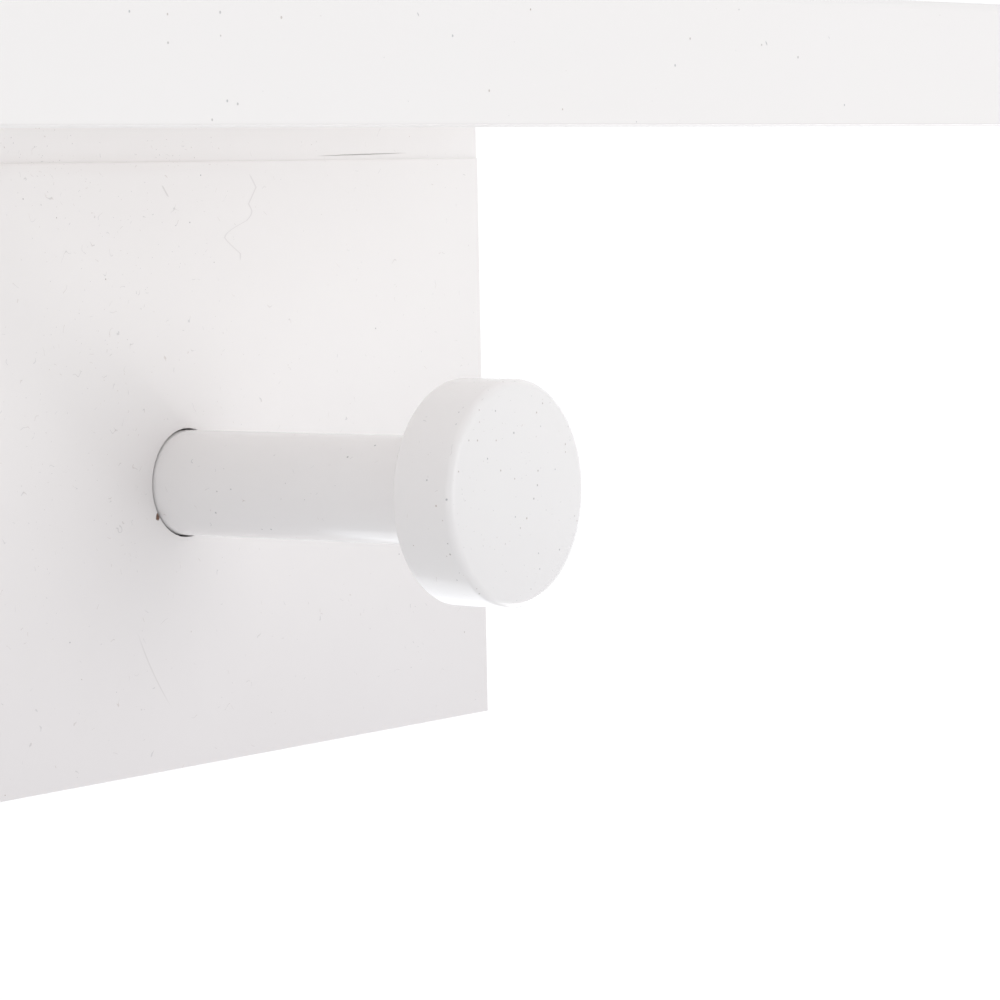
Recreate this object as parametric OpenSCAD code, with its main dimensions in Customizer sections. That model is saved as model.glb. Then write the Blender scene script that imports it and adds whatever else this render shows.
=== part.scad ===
// Wall hook rack with a shelf: a painted hook board hangs under a shelf rail,
// and a row of round-headed pegs stands out of the board.
//
// Frame: X runs along the wall, the wall is the plane Y = 0, the rack stands
// out towards -Y, and Z is up. The origin is on the wall plane, at mid-length,
// on the line through the hangers' entry holes.

/* [Board and rail] */
// Overall length of the rack
rack_length = 800; // [660:10:1000]
// Thickness of the hook board
board_t = 18; // [17:1:24]
// Height of the hook board
board_h = 92; // [86:1:120]
// Height of the rail that carries the shelf
rail_h = 20.5; // [19:0.5:30]
// Distance that the rail's front is set back from the board's front
rail_setback = 0.2; // [0:0.05:0.5]
// Rounding of the painted boards' edges
edge_r = 0.1; // [0.1:0.1:0.8]

/* [Shelf] */
// How far the shelf stands out in front of the hook board
shelf_reach = 112; // [90:1:160]
// Thickness of the shelf panel
panel_t = 12; // [11:1:15]
// Height of the band along the shelf's front
band_h = 17.5; // [16:0.5:30]
// Thickness of that band
band_t = 12; // [11:1:18]
// Rounding of the band's upper edges
band_top_r = 1.2; // [0.8:0.1:2]

/* [Pegs] */
// Number of pegs
peg_count = 5; // [3:1:5]
// Distance from each end of the rack to the nearest peg's axis
peg_end = 76; // [60:1:120]
// Height of the peg axes above the hook board's lower edge
peg_up = 43.4; // [38:0.1:50]
// Diameter of a peg's shank
shank_d = 16; // [13:0.5:20]
// Length of shank between the board and the head
shank_reach = 51.5; // [35:0.5:70]
// Diameter of a peg's head
head_d = 33; // [26:0.5:40]
// Thickness of a peg's head
head_t = 10.5; // [10:0.5:18]
// Rounding of the head's front edge
head_front_r = 1.2; // [0.6:0.1:2]
// Rounding of the head's back edge
head_back_r = 0.7; // [0.3:0.1:1]
// Depth of the socket that a shank sits in
socket_depth = 8; // [6:0.5:9]
// Gap all round a shank in its socket
socket_gap = 0.3; // [0.1:0.05:0.5]
// Diameter of the spigot that joins a shank to its head
spigot_d = 10; // [8:0.5:11]
// Length of that spigot
spigot_len = 7; // [5:0.5:8]

/* [Fasteners] */
// Thread diameter of the screws that hold the pegs
peg_screw_d = 4.5; // [4:0.1:5]
// Length of the screws that hold the pegs
peg_screw_len = 40; // [30:1:42]
// Thread diameter of the screws that hold the shelf panel
shelf_screw_d = 4; // [3.5:0.1:4.5]
// Length of the screws that hold the shelf panel
shelf_screw_len = 45; // [38:1:55]
// Thread diameter of the screws that hold the hangers
hanger_screw_d = 3; // [2.5:0.1:3.5]
// Length of the screws that hold the hangers
hanger_screw_len = 12; // [10:1:14]
// Diameter of the dowels between the hook board and the rail
board_dowel_d = 8; // [6:1:10]
// Length of those dowels
board_dowel_len = 26; // [20:1:28]
// Diameter of the dowels between the panel and its band
band_dowel_d = 6; // [5:0.5:7]
// Length of those dowels
band_dowel_len = 22; // [16:1:24]

/* [Hangers] */
// Distance of the hangers' entry holes below the top of the hook board
hanger_drop = 40; // [36:1:48]
// Width of a hanger plate
hanger_w = 20; // [18:1:24]
// Height of a hanger plate
hanger_h = 50; // [48:1:56]
// Thickness of a hanger plate
hanger_t = 2; // [1.5:0.25:2.5]
// Diameter of the keyhole's entry hole
entry_d = 10; // [8:0.5:11]
// Width of the keyhole's slot
slot_w = 5; // [4:0.5:6]
// Rise from the entry hole to the slot's end
slot_rise = 9; // [8:0.5:10]
// Depth of the room for the wall screw's head behind a plate
key_room = 7; // [5:0.5:8]

/* [Hidden] */
$fn = 64;
peg_numbers = [0 : peg_count - 1];

cut = 1;               // how far a cutting tool runs past a face
screw_gap = 0.1;       // gap round a screw in its hole
glue_gap = 0.1;        // gap round a dowel or a spigot, filled by glue
dowel_end_room = 1;    // room past the end of a dowel in the rail and in the hook board
plate_gap = 0.2;       // gap round a hanger plate in its recess
plate_corner_r = 3;    // corner radius of a hanger plate
plate_screw_in = 1.8;  // a hanger screw's distance from the plate's end over its thread's diameter
key_side = 1.5;        // room beside the entry hole for the wall screw's head
head_over_d = 2;       // a countersunk head's diameter over its thread's
drive_width = 0.28;    // width of a cross recess over the thread's diameter
drive_span = 0.9;      // length of a cross recess over the thread's diameter
drive_depth = 0.45;    // depth of a cross recess over the thread's diameter
thread_core = 0.72;    // core diameter of a thread over its outer diameter
thread_pitch = 0.5;    // pitch of a thread over its outer diameter
tip_over_d = 1;        // length of a screw's point over its diameter

peg_pitch = (rack_length - 2 * peg_end) / (peg_count - 1);
function peg_x(i) = -rack_length / 2 + peg_end + i * peg_pitch;
peg_places = [for (i = peg_numbers) peg_x(i)];
bay_places = [for (i = [0 : peg_count - 2]) peg_x(i) + peg_pitch / 2];

board_top = hanger_drop;
board_low = board_top - board_h;
rail_top = board_top + rail_h;
peg_z = board_low + peg_up;
panel_z = rail_top - panel_t / 2;
shelf_front = board_t + shelf_reach;
rail_t = board_t - rail_setback;
panel_depth = shelf_front - band_t - rail_t;
end_screw_x = rack_length / 2 - peg_end / 2;
shelf_screw_places = concat([-end_screw_x], bay_places, [end_screw_x]);
hanger_places = [bay_places[0], bay_places[peg_count - 2]];
// The plate's middle is midway along its keyhole, and its screws sit near its ends
plate_mid_z = slot_rise / 2;
plate_screw_rise = hanger_h / 2 - hanger_screw_d * plate_screw_in;
// Dowels share their length evenly between board and rail, and 1 : 2 in the band
rail_dowel_hole = board_dowel_len / 2 + dowel_end_room;
band_dowel_in_band = band_dowel_len / 3;

// A board with all its edges rounded: low corner, size, and the radius of its
// two upper edges along X, which may be larger than the other edges' radius
module board(low, size, r = edge_r, top_r = edge_r) {
    translate(low) intersection() {
        rotate([90, 0, 90])
            linear_extrude(size[0]) rounded_outline(size[1], size[2], r, top_r);
        translate([0, size[1], 0]) rotate([90, 0, 0])
            linear_extrude(size[1]) rounded_outline(size[0], size[2], r, r);
        linear_extrude(size[2]) rounded_outline(size[0], size[1], r, r);
    }
}

// A rectangle with round corners; its two upper corners can have another radius
module rounded_outline(w, h, r, top_r) {
    for (x = [r, w - r]) translate([x, r]) circle(r);
    for (x = [top_r, w - top_r]) translate([x, h - top_r]) circle(top_r);
    translate([r, 0]) square([w - 2 * r, h / 2]);
    translate([0, r]) square([w, h - r - top_r]);
    translate([top_r, h / 2]) square([w - 2 * top_r, h / 2]);
}

// A round bar along -Y from the plane y
module bar(x, y, z, d, len) {
    translate([x, y, z]) rotate([90, 0, 0]) cylinder(d = d, h = len);
}

// The profile of a countersunk wood screw: its head's face is at 0 and its
// point is at len, with a ring of thread at each pitch
module screw_profile(d, len) {
    head_r = d * head_over_d / 2;
    core_r = d * thread_core / 2;
    cone = head_r - core_r;
    pitch = d * thread_pitch;
    tip = d * tip_over_d;
    turns = floor((len - cone - tip) / pitch) - 1;
    ring = [for (i = [0 : turns - 1], s = [0 : 2])
        let (z = len - tip - (turns - i) * pitch)
        [s == 1 ? d / 2 : core_r, z + s * pitch / 3]];
    polygon(concat([[0, 0], [head_r, 0], [core_r, cone]], ring, [[core_r, len - tip], [0, len]]));
}

// A countersunk screw driven along -Y with its head's face at y
module screw(x, y, z, d, len) {
    translate([x, y, z]) rotate([90, 0, 0]) difference() {
        rotate_extrude() screw_profile(d, len);
        for (turn = [0, 90]) rotate([0, 0, turn])
            translate([-d * drive_span / 2, -d * drive_width / 2, -cut])
                cube([d * drive_span, d * drive_width, cut + d * drive_depth]);
    }
}

// The hole for such a screw: a countersink at the face, then a plain bore
module screw_hole(x, y, z, d, len) {
    head_r = d * head_over_d / 2 + screw_gap;
    bore_r = d / 2 + screw_gap;
    translate([x, y, z]) rotate([90, 0, 0]) rotate_extrude()
        polygon([[0, -cut], [head_r, -cut], [head_r, 0], [bore_r, head_r - bore_r],
            [bore_r, len + screw_gap], [0, len + screw_gap]]);
}

module hook_board() {
    color("whitesmoke") difference() {
        board([-rack_length / 2, -board_t, board_low], [rack_length, board_t, board_h]);
        for (x = peg_places) {
            bar(x, socket_depth - board_t, peg_z, shank_d + 2 * socket_gap, socket_depth + cut);
            screw_hole(x, 0, peg_z, peg_screw_d, board_t);
            translate([x, -board_t / 2, board_top - rail_dowel_hole])
                cylinder(d = board_dowel_d + 2 * glue_gap, h = rail_dowel_hole + cut);
        }
        for (x = hanger_places) hanger_recess(x);
    }
}

// The recess for a hanger plate, with deeper room behind its keyhole
module hanger_recess(x) {
    translate([x, cut, 0]) rotate([90, 0, 0])
        linear_extrude(cut + hanger_t) plate_outline(plate_gap);
    room_d = entry_d + 2 * key_side;
    bar(x, cut, 0, room_d, cut + hanger_t + key_room);
    bar(x, cut, slot_rise, room_d, cut + hanger_t + key_room);
    translate([x - room_d / 2, -hanger_t - key_room, 0])
        cube([room_d, hanger_t + key_room + cut, slot_rise]);
    for (side = [-1, 1])
        screw_hole(x, 0, plate_mid_z + side * plate_screw_rise, hanger_screw_d, hanger_screw_len);
}

// The outline of a hanger plate, seen from the wall, grown by gap
module plate_outline(gap) {
    w = hanger_w + 2 * gap;
    h = hanger_h + 2 * gap;
    r = plate_corner_r + gap;
    translate([-w / 2, plate_mid_z - h / 2]) rounded_outline(w, h, r, r);
}

module back_rail() {
    color("whitesmoke") difference() {
        board([-rack_length / 2, -rail_t, board_top], [rack_length, rail_t, rail_h]);
        for (x = peg_places)
            translate([x, -board_t / 2, board_top - cut])
                cylinder(d = board_dowel_d + 2 * glue_gap, h = rail_dowel_hole + cut);
        for (x = shelf_screw_places) screw_hole(x, 0, panel_z, shelf_screw_d, rail_t);
    }
}

module shelf_panel() {
    color("whitesmoke") difference() {
        board([-rack_length / 2, -rail_t - panel_depth, rail_top - panel_t],
            [rack_length, panel_depth, panel_t]);
        for (x = shelf_screw_places)
            bar(x, cut - rail_t, panel_z, shelf_screw_d + 2 * screw_gap,
                cut + shelf_screw_len - rail_t + screw_gap);
        for (x = peg_places)
            bar(x, band_t - shelf_front + band_dowel_len - band_dowel_in_band + glue_gap, panel_z,
                band_dowel_d + 2 * glue_gap, band_dowel_len - band_dowel_in_band + glue_gap + cut);
    }
}

module front_band() {
    color("whitesmoke") difference() {
        board([-rack_length / 2, -shelf_front, rail_top - band_h], [rack_length, band_t, band_h],
            edge_r, band_top_r);
        for (x = peg_places)
            bar(x, band_t - shelf_front + cut, panel_z, band_dowel_d + 2 * glue_gap,
                cut + band_dowel_in_band + glue_gap);
    }
}

module board_dowels() {
    color("burlywood") for (x = peg_places)
        translate([x, -board_t / 2, board_top]) rotate([90, 0, 0])
            dowel(board_dowel_d, board_dowel_len);
}

module band_dowels() {
    color("burlywood") for (x = peg_places)
        translate([x, band_t - shelf_front + band_dowel_len / 2 - band_dowel_in_band, panel_z])
            dowel(band_dowel_d, band_dowel_len);
}

// A dowel along Y about the origin, with chamfered ends
module dowel(d, len) {
    chamfer = d / 10;
    rotate([90, 0, 0]) rotate_extrude()
        polygon([[0, -len / 2], [d / 2 - chamfer, -len / 2], [d / 2, chamfer - len / 2],
            [d / 2, len / 2 - chamfer], [d / 2 - chamfer, len / 2], [0, len / 2]]);
}

module shelf_screws() {
    color("silver") for (x = shelf_screw_places) screw(x, 0, panel_z, shelf_screw_d, shelf_screw_len);
}

// One turned shank, from the socket's floor to the end of its spigot
module peg_shank(i) {
    foot_y = socket_depth - board_t;
    color("white") difference() {
        union() {
            bar(peg_x(i), foot_y, peg_z, shank_d, socket_depth + shank_reach);
            bar(peg_x(i), foot_y, peg_z, spigot_d, socket_depth + shank_reach + spigot_len);
        }
        bar(peg_x(i), foot_y + cut, peg_z, peg_screw_d + 2 * screw_gap,
            cut + peg_screw_len - board_t + socket_depth + screw_gap);
    }
}

// One turned head, with a blind hole in its back for the spigot
module peg_head(i) {
    color("white") translate([peg_x(i), -board_t - shank_reach, peg_z]) rotate([90, 0, 0])
        difference() {
            rotate_extrude() head_profile();
            translate([0, 0, -cut]) cylinder(d = spigot_d + 2 * glue_gap, h = cut + spigot_len + glue_gap);
        }
}

// Half of a head's section, with its back on the X axis and its front edge rounder
module head_profile() {
    r = head_d / 2;
    square([r - head_back_r, head_t / 2]);
    translate([0, head_back_r]) square([r, head_t - head_back_r - head_front_r]);
    translate([0, head_t / 2]) square([r - head_front_r, head_t / 2]);
    translate([r - head_back_r, head_back_r]) circle(head_back_r);
    translate([r - head_front_r, head_t - head_front_r]) circle(head_front_r);
}

module peg_screws() {
    color("silver") for (x = peg_places) screw(x, 0, peg_z, peg_screw_d, peg_screw_len);
}

// One keyhole plate, flush with the back of the hook board
module hanger_plate(x) {
    color("silver") difference() {
        translate([x, 0, 0]) rotate([90, 0, 0]) linear_extrude(hanger_t) difference() {
            plate_outline(0);
            circle(d = entry_d);
            translate([0, slot_rise]) circle(d = slot_w);
            translate([-slot_w / 2, 0]) square([slot_w, slot_rise]);
        }
        for (side = [-1, 1])
            screw_hole(x, 0, plate_mid_z + side * plate_screw_rise, hanger_screw_d, hanger_screw_len);
    }
}

module hanger_screws() {
    color("silver") for (x = hanger_places, side = [-1, 1])
        screw(x, 0, plate_mid_z + side * plate_screw_rise, hanger_screw_d, hanger_screw_len);
}

hook_board();
back_rail();
shelf_panel();
front_band();
for (i = peg_numbers) {
    peg_shank(i);
    peg_head(i);
}
board_dowels();
band_dowels();
peg_screws();
shelf_screws();
hanger_plate(hanger_places[0]);  // hanger_plate_left
hanger_plate(hanger_places[1]);  // hanger_plate_right
hanger_screws();
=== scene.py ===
import math

import bmesh
import bpy
from mathutils import Matrix, Vector


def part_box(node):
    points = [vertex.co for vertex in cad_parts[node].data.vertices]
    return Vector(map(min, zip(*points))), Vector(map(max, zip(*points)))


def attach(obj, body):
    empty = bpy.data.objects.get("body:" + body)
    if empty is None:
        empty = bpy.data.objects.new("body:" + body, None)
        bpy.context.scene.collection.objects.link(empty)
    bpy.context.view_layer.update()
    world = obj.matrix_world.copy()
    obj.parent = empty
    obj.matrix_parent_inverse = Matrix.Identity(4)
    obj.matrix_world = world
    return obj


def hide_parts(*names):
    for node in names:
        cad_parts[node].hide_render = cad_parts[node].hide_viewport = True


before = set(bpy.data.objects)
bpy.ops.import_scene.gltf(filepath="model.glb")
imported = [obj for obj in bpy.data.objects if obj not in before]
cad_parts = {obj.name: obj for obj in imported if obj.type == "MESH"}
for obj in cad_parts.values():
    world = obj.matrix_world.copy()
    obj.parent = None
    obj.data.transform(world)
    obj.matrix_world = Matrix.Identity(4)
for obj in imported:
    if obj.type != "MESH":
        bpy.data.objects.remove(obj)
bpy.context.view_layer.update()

MM = 0.001
PEG_COUNT = 5

# The camera, the lights and the marks are placed from the right-hand peg's foot, on the board's front
shank_low, shank_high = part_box("peg_shank_5")
board_low, board_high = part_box("hook_board")
rail_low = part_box("back_rail")[0]
FOOT = Vector(((shank_low.x + shank_high.x) / 2, board_low.y, (shank_low.z + shank_high.z) / 2))
FRONT_Y = board_low.y / MM
JOINT_Z = board_high.z / MM
END_X = board_high.x / MM
BAND_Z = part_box("front_band")[0].z / MM
HEAD_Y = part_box("peg_head_5")[0].y / MM


def add_object(name, data):
    made = bpy.data.objects.new(name, data)
    bpy.context.scene.collection.objects.link(made)
    return made


# ------------------------------------------------------------ shader building

class Socket:
    """A node's output that can stand in a Python sum."""

    def __init__(self, graph, link):
        self.graph = graph
        self.link = link

    def __add__(self, other):
        return self.graph.math("ADD", self, other)

    def __radd__(self, other):
        return self.graph.math("ADD", other, self)

    def __sub__(self, other):
        return self.graph.math("SUBTRACT", self, other)

    def __rsub__(self, other):
        return self.graph.math("SUBTRACT", other, self)

    def __mul__(self, other):
        return self.graph.math("MULTIPLY", self, other)

    def __rmul__(self, other):
        return self.graph.math("MULTIPLY", other, self)

    def __truediv__(self, other):
        return self.graph.math("DIVIDE", self, other)

    def __gt__(self, other):
        return self.graph.math("GREATER_THAN", self, other)

    def __abs__(self):
        return self.graph.math("ABSOLUTE", self)


class Graph:
    """The nodes of one material, or of the world."""

    def __init__(self, owner):
        owner.use_nodes = True
        self.tree = owner.node_tree
        self.tree.nodes.clear()

    def node(self, kind, settings=None, sockets=None, output=0):
        """Adds a node with its settings, then its sockets, and gives one of its outputs."""
        made = self.tree.nodes.new(kind)
        for name, value in (settings or {}).items():
            setattr(made, name, value)
        for name, value in (sockets or {}).items():
            if isinstance(value, Socket):
                self.tree.links.new(value.link, made.inputs[name])
            else:
                made.inputs[name].default_value = value
        return Socket(self, made.outputs[output]) if made.outputs else None

    def math(self, operation, *values):
        return self.node("ShaderNodeMath", {"operation": operation}, dict(enumerate(values)))

    def mix(self, factor, a, b):
        """A colour between a and b."""
        return self.node("ShaderNodeMix", {"data_type": "RGBA"}, {0: factor, 6: a, 7: b}, 2)

    def rise(self, value, low, high):
        """0 up to low, 1 from high on, and a smooth rise between."""
        return self.node("ShaderNodeMapRange", {"interpolation_type": "SMOOTHSTEP"},
                         {0: value, 1: low, 2: high, 3: 0, 4: 1})

    def place(self):
        """The place in the row frame in millimetres: the vector, x, y and z."""
        point = self.node("ShaderNodeTexCoord", output="Object")
        vector = self.node("ShaderNodeVectorMath", {"operation": "SCALE"}, {0: point, "Scale": 1 / MM})
        parts = [self.node("ShaderNodeSeparateXYZ", sockets={0: vector}, output=k) for k in range(3)]
        return vector, *parts

    def moved(self, vector, *offset):
        return self.node("ShaderNodeVectorMath", {"operation": "ADD"}, {0: vector, 1: offset})

    def stretched(self, vector, *scale):
        return self.node("ShaderNodeVectorMath", {"operation": "MULTIPLY"}, {0: vector, 1: scale})

    def noise(self, vector, per_mm, detail=2, roughness=0.5):
        return self.node("ShaderNodeTexNoise", sockets={
            "Vector": vector, "Scale": per_mm, "Detail": detail, "Roughness": roughness})

    def principled(self, height=None, **sockets):
        """Ends a material in one shader; height is the surface's relief in millimetres."""
        if height is not None:
            sockets["Normal"] = self.node("ShaderNodeBump", sockets={
                "Height": height, "Strength": 1.0, "Distance": MM})
        named = {name.replace("_", " "): value for name, value in sockets.items()}
        shader = self.node("ShaderNodeBsdfPrincipled", sockets=named)
        self.node("ShaderNodeOutputMaterial", sockets={"Surface": shader})


# ---------------------------------------------------------- marks in lacquer

BROWN_DUST = (0.24, 0.14, 0.09, 1)
GREY_DUST = (0.10, 0.12, 0.15, 1)


def dust(g, vector, per_mm, radius, share):
    """Specks of dust, 1 inside a speck; only that share of the cells holds one."""
    cell = {"Vector": vector, "Scale": per_mm, "Randomness": 1.0}
    distance = g.node("ShaderNodeTexVoronoi", sockets=cell)
    colour = g.node("ShaderNodeTexVoronoi", sockets=cell, output="Color")
    chance = g.node("ShaderNodeSeparateColor", sockets={0: colour}, output=0)
    size = g.node("ShaderNodeSeparateColor", sockets={0: colour}, output=1)
    edge = (size * size * 0.7 + 0.3) * (radius * per_mm)
    return (1 - g.rise(distance, edge * 0.5, edge)) * (chance > 1 - share)


def lint(g, vector, per_mm, width, share):
    """Short curled fibres: lines of equal height in a noise, broken into lengths."""
    line = 1 - g.rise(abs(g.noise(vector, per_mm, detail=1) - 0.5), width * 0.3, width)
    length = g.rise(g.noise(g.moved(vector, 40, 0, 90), per_mm * 1.7, detail=1), 1 - share, 1.01 - share)
    return line * length


def dust_colour(g, vector):
    """Brown to blue-grey, from speck to speck."""
    return g.mix(g.rise(g.noise(vector, 0.5, detail=1), 0.4, 0.55), BROWN_DUST, GREY_DUST)


def lacquer_relief(g, vector):
    """Sprayed lacquer: a fine peel over slow waves, in millimetres."""
    return g.noise(vector, 0.9, detail=1) * 0.004 + g.noise(vector, 0.06, detail=1) * 0.05


# Painted shade: below the joint by these depths the white is greyest, and still fully white.
GREYEST_BELOW_JOINT = 110
WHITE_BELOW_JOINT = 10
PAINTED_SHADE_GREY = (0.22, 0.17, 0.23, 1)


def painted_lower_shade(g, colour, z):
    """Painted shade: the white is made a little greyer, with a faint purple, towards the lower edge."""
    greyer = g.mix(0.21, colour, PAINTED_SHADE_GREY)
    return g.mix(g.rise(z, JOINT_Z - GREYEST_BELOW_JOINT, JOINT_Z - WHITE_BELOW_JOINT), greyer, colour)


def within(g, value, low, high, soft):
    """1 between low and high, fading over soft at both ends."""
    return g.rise(value, low, low + soft) * (1 - g.rise(value, high - soft, high))


# Single marks: each is 1 on the mark and 0 off it. Places are in millimetres from the right-hand peg's
# foot, from the joint or from the right-hand end.
CRACK_FROM_END = 42.5
CRACK_LENGTH = 23.5
CRACK_ABOVE_JOINT = 0.58


def crack(g, x, z):
    """A hairline crack in the paint just above the joint, near the right-hand end."""
    run = (x - (END_X - CRACK_FROM_END)) / CRACK_LENGTH
    ripple = g.noise(g.node("ShaderNodeCombineXYZ", sockets={0: x}), 0.3, detail=2) * 0.16
    middle = JOINT_Z + CRACK_ABOVE_JOINT + run * 0.34 + ripple
    taper = g.math("POWER", g.math("MAXIMUM", run * (1 - run) * 4, 0.0), 0.6)
    half = taper * 0.08
    return (1 - g.rise(abs(z - middle), half * 0.3, half + 0.03)) * taper


HAIR_FROM_FOOT = (-12.6, -21.3)
HAIR_HEIGHT = 13.0


def hair(g, x, z):
    """A fine bent hair under the lacquer, low and left of the peg's foot."""
    drop = (FOOT.z / MM + HAIR_FROM_FOOT[1] - z) / HAIR_HEIGHT
    middle = FOOT.x / MM + HAIR_FROM_FOOT[0] + drop * 5.2 + drop * drop * 2.7
    return (1 - g.rise(abs(x - middle), 0.04, 0.2)) * within(g, drop, 0.0, 1.0, 0.3)


FIBRE_RIGHT_OF_FOOT = 16.1
FIBRE_BELOW_JOINT = 1.8
FIBRE_HEIGHT = 13.7


def long_fibre(g, x, z):
    """A pale kinked fibre under the lacquer, below the joint."""
    fall = JOINT_Z - FIBRE_BELOW_JOINT - z
    kinks = g.math("PINGPONG", fall * 0.75 + 0.2, 1.9)
    slide = g.rise(fall, 5.6, 9.6) * 6.0 - g.rise(fall, 9.6, 14.0) * 2.6
    middle = FOOT.x / MM + FIBRE_RIGHT_OF_FOOT + kinks - slide
    return (1 - g.rise(abs(x - middle), 0.06, 0.24)) * within(g, fall, 0.0, FIBRE_HEIGHT, 0.8)


SPLINTER_LEFT_OF_FOOT = 4.4
SPLINTER_BELOW_JOINT = 3.4
SPLINTER_HEIGHT = 2.0


def splinter(g, x, z):
    """A short dark splinter under the lacquer, left of the fibre."""
    fall = JOINT_Z - SPLINTER_BELOW_JOINT - z
    middle = FOOT.x / MM - SPLINTER_LEFT_OF_FOOT + fall * 0.8
    return (1 - g.rise(abs(x - middle), 0.1, 0.26)) * within(g, fall, 0.0, SPLINTER_HEIGHT, 0.4)


CHIP_FROM_FOOT = (-7.2, -4.7)


def chip(g, vector, x, z):
    """A little brown chip on the rim of the right-hand peg's socket, low and left."""
    across = x - (FOOT.x / MM + CHIP_FROM_FOOT[0])
    up = z - (FOOT.z / MM + CHIP_FROM_FOOT[1])
    away = g.math("SQRT", across * across + up * up * 0.5) + g.noise(vector, 1.5, detail=1) * 0.5
    return 1 - g.rise(away, 0.55, 0.75)


DUST_BELOW_JOINT = 110
DUSTIEST_FROM_END = 100
CLEAN_FROM_END = 40


def board_lacquer():
    """Warm white satin lacquer. Dust has settled in it, mostly under the shelf and away from the ends.
    Painted shade greys it towards the lower edge and under the front band.
    """
    made = bpy.data.materials.new("board_white_lacquer")
    g = Graph(made)
    vector, x, y, z = g.place()
    on_board = g.rise(y, FRONT_Y - 20, FRONT_Y - 2)
    on_face = on_board * (1 - g.rise(y, FRONT_Y + 1, FRONT_Y + 2))
    tint = g.noise(vector, 0.012, detail=2)
    colour = g.mix(tint, (0.886, 0.864, 0.853, 1), (0.893, 0.874, 0.868, 1))

    leaning = g.node("ShaderNodeVectorRotate", {"rotation_type": "Y_AXIS"},
                     {"Vector": vector, "Angle": math.radians(35)})
    tilted = g.stretched(leaning, 1, 1, 0.35)
    patches = g.rise(g.noise(g.moved(vector, 0, 0, 25), 0.04, detail=2), 0.3, 0.62)
    inward = 1 - g.rise(abs(x), END_X - DUSTIEST_FROM_END, END_X - CLEAN_FROM_END)
    upward = g.rise(z, JOINT_Z - DUST_BELOW_JOINT, JOINT_Z)
    settled = (upward * patches * inward + 0.08) * (on_board * 0.95 + 0.05)
    specks = dust(g, vector, 1.1, 0.23, settled * 0.9) + dust(g, tilted, 1.1, 0.17, settled * 0.4)
    grains = dust(g, g.moved(vector, 11, 0, 4), 0.4, 0.18, settled * 0.4 + 0.03)
    curls = lint(g, vector, 0.34, 0.009, settled * 0.07 + 0.3) * on_board
    seam = (1 - g.rise(abs(z - JOINT_Z), 0.2, 2.4)) * on_face
    grime = dust(g, g.moved(vector, 5, 2, 9), 1.3, 0.17, seam * inward * 0.9 + seam * 0.1)
    # Painted shade: the board's white is greyer towards its lower edge.
    colour = painted_lower_shade(g, colour, z)
    # Painted shade: the underside and lower edge of the front band are darkened.
    painted_shade_under_band = (1 - g.rise(z, BAND_Z + 0.02, BAND_Z + 0.3)) * (1 - on_board)
    colour = g.mix(painted_shade_under_band * 0.2, colour, (0.3, 0.27, 0.27, 1))
    colour = g.mix(seam * inward * 0.04, colour, (0.5, 0.34, 0.28, 1))
    colour = g.mix(g.math("MINIMUM", specks * 0.42 + curls * 0.22 + grime * 0.35 + grains * 0.7, 0.9),
                   colour, dust_colour(g, vector))
    dark_marks = (crack(g, x, z) * 0.8 + splinter(g, x, z) * 0.2 + hair(g, x, z) * 0.14) * on_face
    colour = g.mix(g.math("MINIMUM", dark_marks, 0.95), colour, (0.13, 0.11, 0.09, 1))
    fibre = long_fibre(g, x, z) * on_face
    colour = g.mix(fibre * 0.2, colour, (0.34, 0.3, 0.32, 1))
    colour = g.mix(chip(g, vector, x, z) * on_board, colour, (0.16, 0.08, 0.05, 1))

    rough = 0.4 + g.noise(vector, 0.3, detail=1) * 0.1
    height = lacquer_relief(g, vector) + specks * 0.01 + curls * 0.01 + fibre * 0.02 - dark_marks * 0.02
    g.principled(height, Base_Color=colour, Roughness=rough, IOR=1.5)
    return made


def peg_lacquer():
    """Smoother white lacquer over turned wood, with faint rings round each peg's axis, and painted shade
    lower down.
    """
    made = bpy.data.materials.new("peg_white_lacquer")
    g = Graph(made)
    vector, _, y, z = g.place()
    tint = g.noise(vector, 0.05, detail=2)
    colour = g.mix(tint, (0.874, 0.862, 0.856, 1), (0.882, 0.872, 0.868, 1))
    on_head = 1 - g.rise(y, HEAD_Y + 0.5, HEAD_Y + 6)
    specks = dust(g, g.moved(vector, 3, 1, 0), 1.1, 0.24, on_head * 0.5 + 0.05)
    curls = lint(g, vector, 0.36, 0.009, 0.32)
    # Painted shade: the pegs' white is greyer lower down.
    colour = painted_lower_shade(g, colour, z)
    colour = g.mix(g.math("MINIMUM", specks * 0.5 + curls * 0.28, 0.9), colour, dust_colour(g, vector))
    rings = g.noise(g.stretched(vector, 0.05, 1, 0.05), 1.3, detail=1)
    rough = 0.34 + g.noise(vector, 0.3, detail=1) * 0.06
    height = lacquer_relief(g, vector) + rings * 0.004 + specks * 0.01 + curls * 0.01
    g.principled(height, Base_Color=colour, Roughness=rough, IOR=1.5, Coat_Weight=0.6, Coat_Roughness=0.13)
    return made


def beech():
    """Bare beech for the dowels: long grain with short dark flecks."""
    made = bpy.data.materials.new("bare_beech")
    g = Graph(made)
    vector = g.place()[0]
    grain = g.noise(g.stretched(vector, 1, 0.4, 0.12), 1.2, detail=4, roughness=0.65)
    flecks = dust(g, g.stretched(vector, 1, 1, 0.25), 1.2, 0.25, 0.5)
    colour = g.mix(grain, (0.62, 0.42, 0.25, 1), (0.78, 0.6, 0.41, 1))
    colour = g.mix(flecks * 0.5, colour, (0.36, 0.2, 0.1, 1))
    g.principled(grain * 0.05, Base_Color=colour, Roughness=0.55 + grain * 0.2)
    return made


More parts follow.
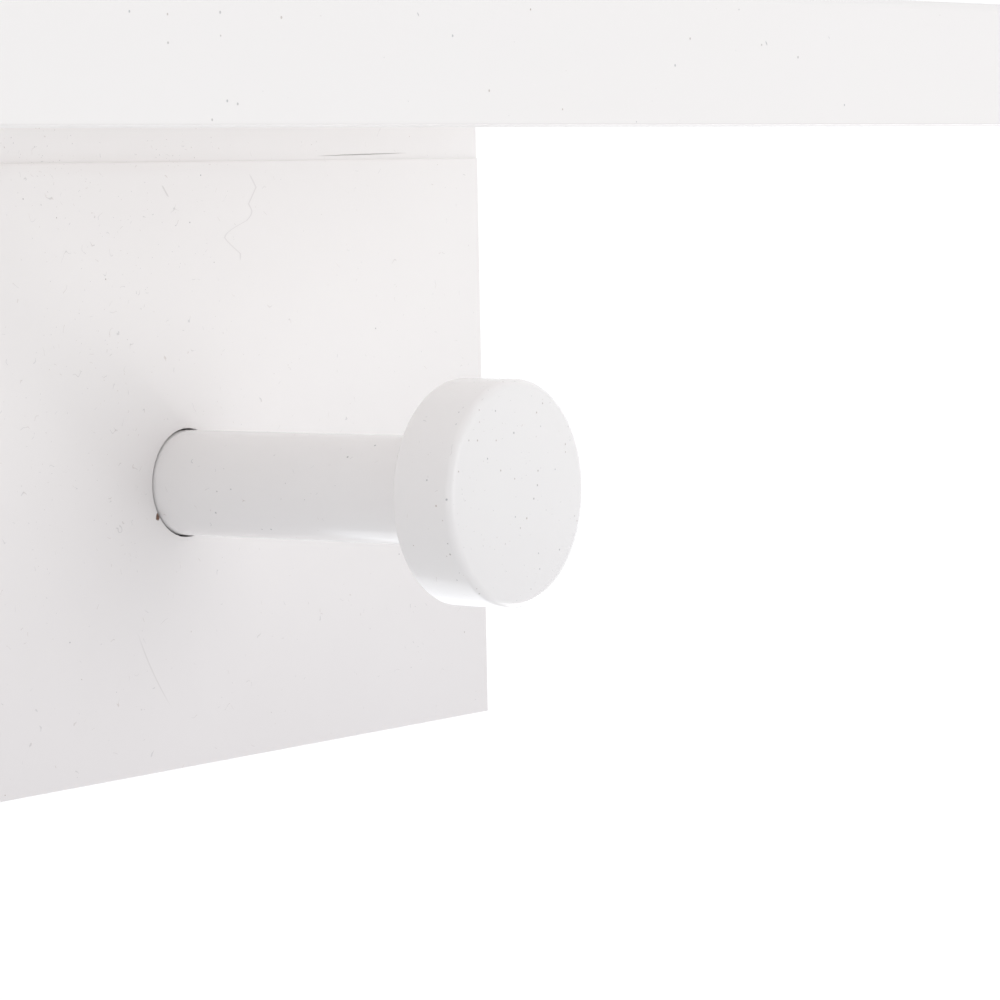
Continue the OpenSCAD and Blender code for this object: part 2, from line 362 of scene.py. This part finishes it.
def zinc_steel():
    """Bright zinc plate with a cloudy sheen and fine rolling lines."""
    made = bpy.data.materials.new("bright_zinc_plate")
    g = Graph(made)
    vector = g.place()[0]
    cloud = g.noise(vector, 0.35, detail=4, roughness=0.6)
    lines = g.noise(g.stretched(vector, 6, 1, 0.4), 1.5, detail=2)
    colour = g.mix(cloud, (0.55, 0.56, 0.58, 1), (0.72, 0.73, 0.74, 1))
    g.principled(lines * 0.006, Base_Color=colour, Metallic=1.0, Roughness=0.28 + cloud * 0.18)
    return made


def set_material(material, *names):
    """Gives CAD nodes their material."""
    for name in names:
        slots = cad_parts[name].data.materials
        slots.clear()
        slots.append(material)


# ---------------------------------------------------------------- turned pegs

TURN_STEPS = 160
ARC_STEPS = 8
HEAD_FRONT_R = 1.2 * MM
HEAD_BACK_R = 0.7 * MM
FOOT_CHAMFER = 0.4 * MM
SPIGOT_R = 5.0 * MM
SPIGOT_GAP = 0.1 * MM
SPIGOT_LEN = 7.0 * MM
SCREW_HOLE_R = 2.35 * MM
SCREW_HOLE_END = -40.1 * MM


def rounded(r, y, radius, start):
    """A quarter turn of points about (r, y), clockwise from the angle start."""
    angles = [start - math.pi / 2 * k / ARC_STEPS for k in range(ARC_STEPS + 1)]
    return [(r + radius * math.cos(a), y + radius * math.sin(a)) for a in angles]


def turned(name, x, z, profile, material):
    """A piece turned about the line through (x, z) along Y; the profile is a list of (radius, y)."""
    shape = bmesh.new()
    rings = []
    for r, y in profile:
        turns = [2 * math.pi * k / TURN_STEPS for k in range(TURN_STEPS)] if r > 0 else [0]
        rings.append([shape.verts.new((x + r * math.cos(a), y, z + r * math.sin(a))) for a in turns])
    for one, other in zip(rings, rings[1:]):
        for k in range(TURN_STEPS):
            corners = (one[k % len(one)], one[(k + 1) % len(one)],
                       other[(k + 1) % len(other)], other[k % len(other)])
            shape.faces.new(dict.fromkeys(corners))
    bmesh.ops.recalc_face_normals(shape, faces=shape.faces)
    mesh = bpy.data.meshes.new(name)
    shape.to_mesh(mesh)
    shape.free()
    mesh.shade_smooth()
    mesh.set_sharp_from_angle(angle=math.radians(35))
    mesh.materials.append(material)
    made = add_object(name, mesh)
    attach(made, "root")
    return made


def turn_head(number, material):
    node = f"peg_head_{number}"
    low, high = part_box(node)
    radius = (high.x - low.x) / 2
    hole_end = high.y - SPIGOT_LEN - SPIGOT_GAP
    hole_r = SPIGOT_R + SPIGOT_GAP
    profile = [(0, hole_end), (hole_r, hole_end), (hole_r, high.y)]
    profile += rounded(radius - HEAD_BACK_R, high.y - HEAD_BACK_R, HEAD_BACK_R, math.pi / 2)
    profile += rounded(radius - HEAD_FRONT_R, low.y + HEAD_FRONT_R, HEAD_FRONT_R, 0)
    profile.append((0, low.y))
    made = turned(f"turned_head_{number}", (low.x + high.x) / 2, (low.z + high.z) / 2, profile, material)
    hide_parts(node)


def turn_shank(number, material):
    node = f"peg_shank_{number}"
    low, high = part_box(node)
    radius = (high.x - low.x) / 2
    neck = low.y + SPIGOT_LEN
    profile = [(0, SCREW_HOLE_END), (SCREW_HOLE_R, SCREW_HOLE_END), (SCREW_HOLE_R, high.y),
               (radius - FOOT_CHAMFER, high.y), (radius, high.y - FOOT_CHAMFER), (radius, neck),
               (SPIGOT_R, neck), (SPIGOT_R, low.y), (0, low.y)]
    made = turned(f"turned_shank_{number}", (low.x + high.x) / 2, (low.z + high.z) / 2, profile, material)
    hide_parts(node)


# ------------------------------------------------------------ paint in a joint

EDGE_R = 0.1 * MM
PAINT_OVER = 0.04 * MM
PAINT_PROUD = 0.008 * MM


def fill_joint(material):
    """The lacquer that runs across the joint between hook board and rail and fills its groove."""
    reach = EDGE_R + PAINT_OVER
    depth = rail_low.y - board_low.y
    rows = [(board_low.y - PAINT_PROUD, board_high.z - reach),
            (board_low.y + depth * 0.45, board_high.z),
            (rail_low.y - PAINT_PROUD, board_high.z + reach)]
    corners = [(x, y, z) for y, z in rows for x in (board_low.x + EDGE_R, board_high.x - EDGE_R)]
    mesh = bpy.data.meshes.new("joint_paint")
    mesh.from_pydata(corners, [], [(0, 1, 3, 2), (2, 3, 5, 4)])
    mesh.shade_smooth()
    mesh.materials.append(material)
    made = add_object("joint_paint", mesh)
    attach(made, "root")


# -------------------------------------------------------------- camera, stage

# The camera stands to the left of the right-hand peg and looks along the board
CAMERA_FROM_FOOT = Vector((-497.8, -420.8, 44.75)) * MM
CAMERA_TURN = math.radians(53.96)
CAMERA_DIP = math.radians(4.25)
CAMERA_ROLL = math.radians(1.08)
CAMERA_LENS = 154.4


def make_camera():
    made = add_object("camera", bpy.data.cameras.new("camera"))
    made.data.lens = CAMERA_LENS
    made.data.clip_start = 0.02
    forward = Vector((math.sin(CAMERA_TURN) * math.cos(CAMERA_DIP),
                      math.cos(CAMERA_TURN) * math.cos(CAMERA_DIP), -math.sin(CAMERA_DIP)))
    level = forward.cross(Vector((0, 0, 1))).normalized()
    upright = level.cross(forward)
    right = level * math.cos(CAMERA_ROLL) - upright * math.sin(CAMERA_ROLL)
    axes = Matrix((right, right.cross(forward), -forward)).transposed()
    made.matrix_world = Matrix.Translation(FOOT + CAMERA_FROM_FOOT) @ axes.to_4x4()
    bpy.context.scene.camera = made


FLOOR_DROP = 1.6
FLOOR_R = 5.0
FLOOR_SIDES = 96


def make_floor():
    """A plain pale floor, as far below the rack as a floor is below coat hooks."""
    mesh = bpy.data.meshes.new("floor")
    turns = [2 * math.pi * k / FLOOR_SIDES for k in range(FLOOR_SIDES)]
    mesh.from_pydata([(FLOOR_R * math.cos(a), FLOOR_R * math.sin(a), -FLOOR_DROP) for a in turns],
                     [], [range(FLOOR_SIDES)])
    made = add_object("floor", mesh)
    material = bpy.data.materials.new("pale_floor")
    g = Graph(material)
    shade = g.noise(g.place()[0], 0.002, detail=2)
    g.principled(Base_Color=g.mix(shade, (0.84, 0.84, 0.84, 1), (0.87, 0.87, 0.87, 1)), Roughness=0.8)
    mesh.materials.append(material)


WORLD_COLOUR = (0.985, 0.99, 1.0, 1)
WORLD_LEVEL = 0.873
WORLD_TO_RIGHT = 0.21
WORLD_TO_SKY = 0.04
WORLD_BRIGHT_SIDE = (0.81, 0.59)


def make_world():
    """White all round, a little brighter beyond the rack's right-hand end and towards the sky."""
    world = bpy.data.worlds.new("studio")
    bpy.context.scene.world = world
    g = Graph(world)
    direction = g.node("ShaderNodeTexCoord", output="Generated")
    to_x, to_y, to_z = [g.node("ShaderNodeSeparateXYZ", sockets={0: direction}, output=k) for k in range(3)]
    to_bright = to_x * WORLD_BRIGHT_SIDE[0] + to_y * WORLD_BRIGHT_SIDE[1]
    strength = WORLD_LEVEL + to_bright * WORLD_TO_RIGHT + to_z * WORLD_TO_SKY
    light = g.node("ShaderNodeBackground", sockets={"Color": WORLD_COLOUR, "Strength": strength})
    g.node("ShaderNodeOutputWorld", sockets={"Surface": light})


def make_light(name, offset, size, watts, colour=(1.0, 1.0, 1.0)):
    """A round soft light, placed from the right-hand peg's foot and turned to it."""
    made = add_object(name, bpy.data.lights.new(name, "AREA"))
    made.data.shape = "DISK"
    made.data.size = size
    made.data.energy = watts
    made.data.color = colour
    made.location = FOOT + Vector(offset)
    made.rotation_mode = "QUATERNION"
    made.rotation_quaternion = (-Vector(offset)).to_track_quat("-Z", "Y")


bpy.context.scene.view_settings.view_transform = "Standard"
make_camera()
make_floor()
make_world()
make_light("near_light", (0.1, -0.6, 0.04), 0.3, 0.41)
make_light("glint_light", (-0.35, -0.75, 0.5), 0.08, 0.12)
make_light("low_light", (0.9, -0.12, -0.6), 0.4, 4.5)
make_light("side_light", (-1.3, -0.5, 0.1), 0.9, 2.0)
make_light("front_light", (0.2, -0.8, -0.3), 0.5, 0.17)
make_light("cool_light", (0.68, 0.85, -0.88), 1.3, 4.5, (0.93, 0.96, 1.0))

board_paint = board_lacquer()
peg_paint = peg_lacquer()
set_material(board_paint, "hook_board", "back_rail", "shelf_panel", "front_band")
set_material(beech(), "board_dowels", "band_dowels")
set_material(zinc_steel(), "peg_screws", "shelf_screws", "hanger_screws",
             "hanger_plate_left", "hanger_plate_right")
fill_joint(board_paint)
for number in range(1, PEG_COUNT + 1):
    turn_shank(number, peg_paint)
    turn_head(number, peg_paint)
    set_material(peg_paint, f"peg_shank_{number}", f"peg_head_{number}")
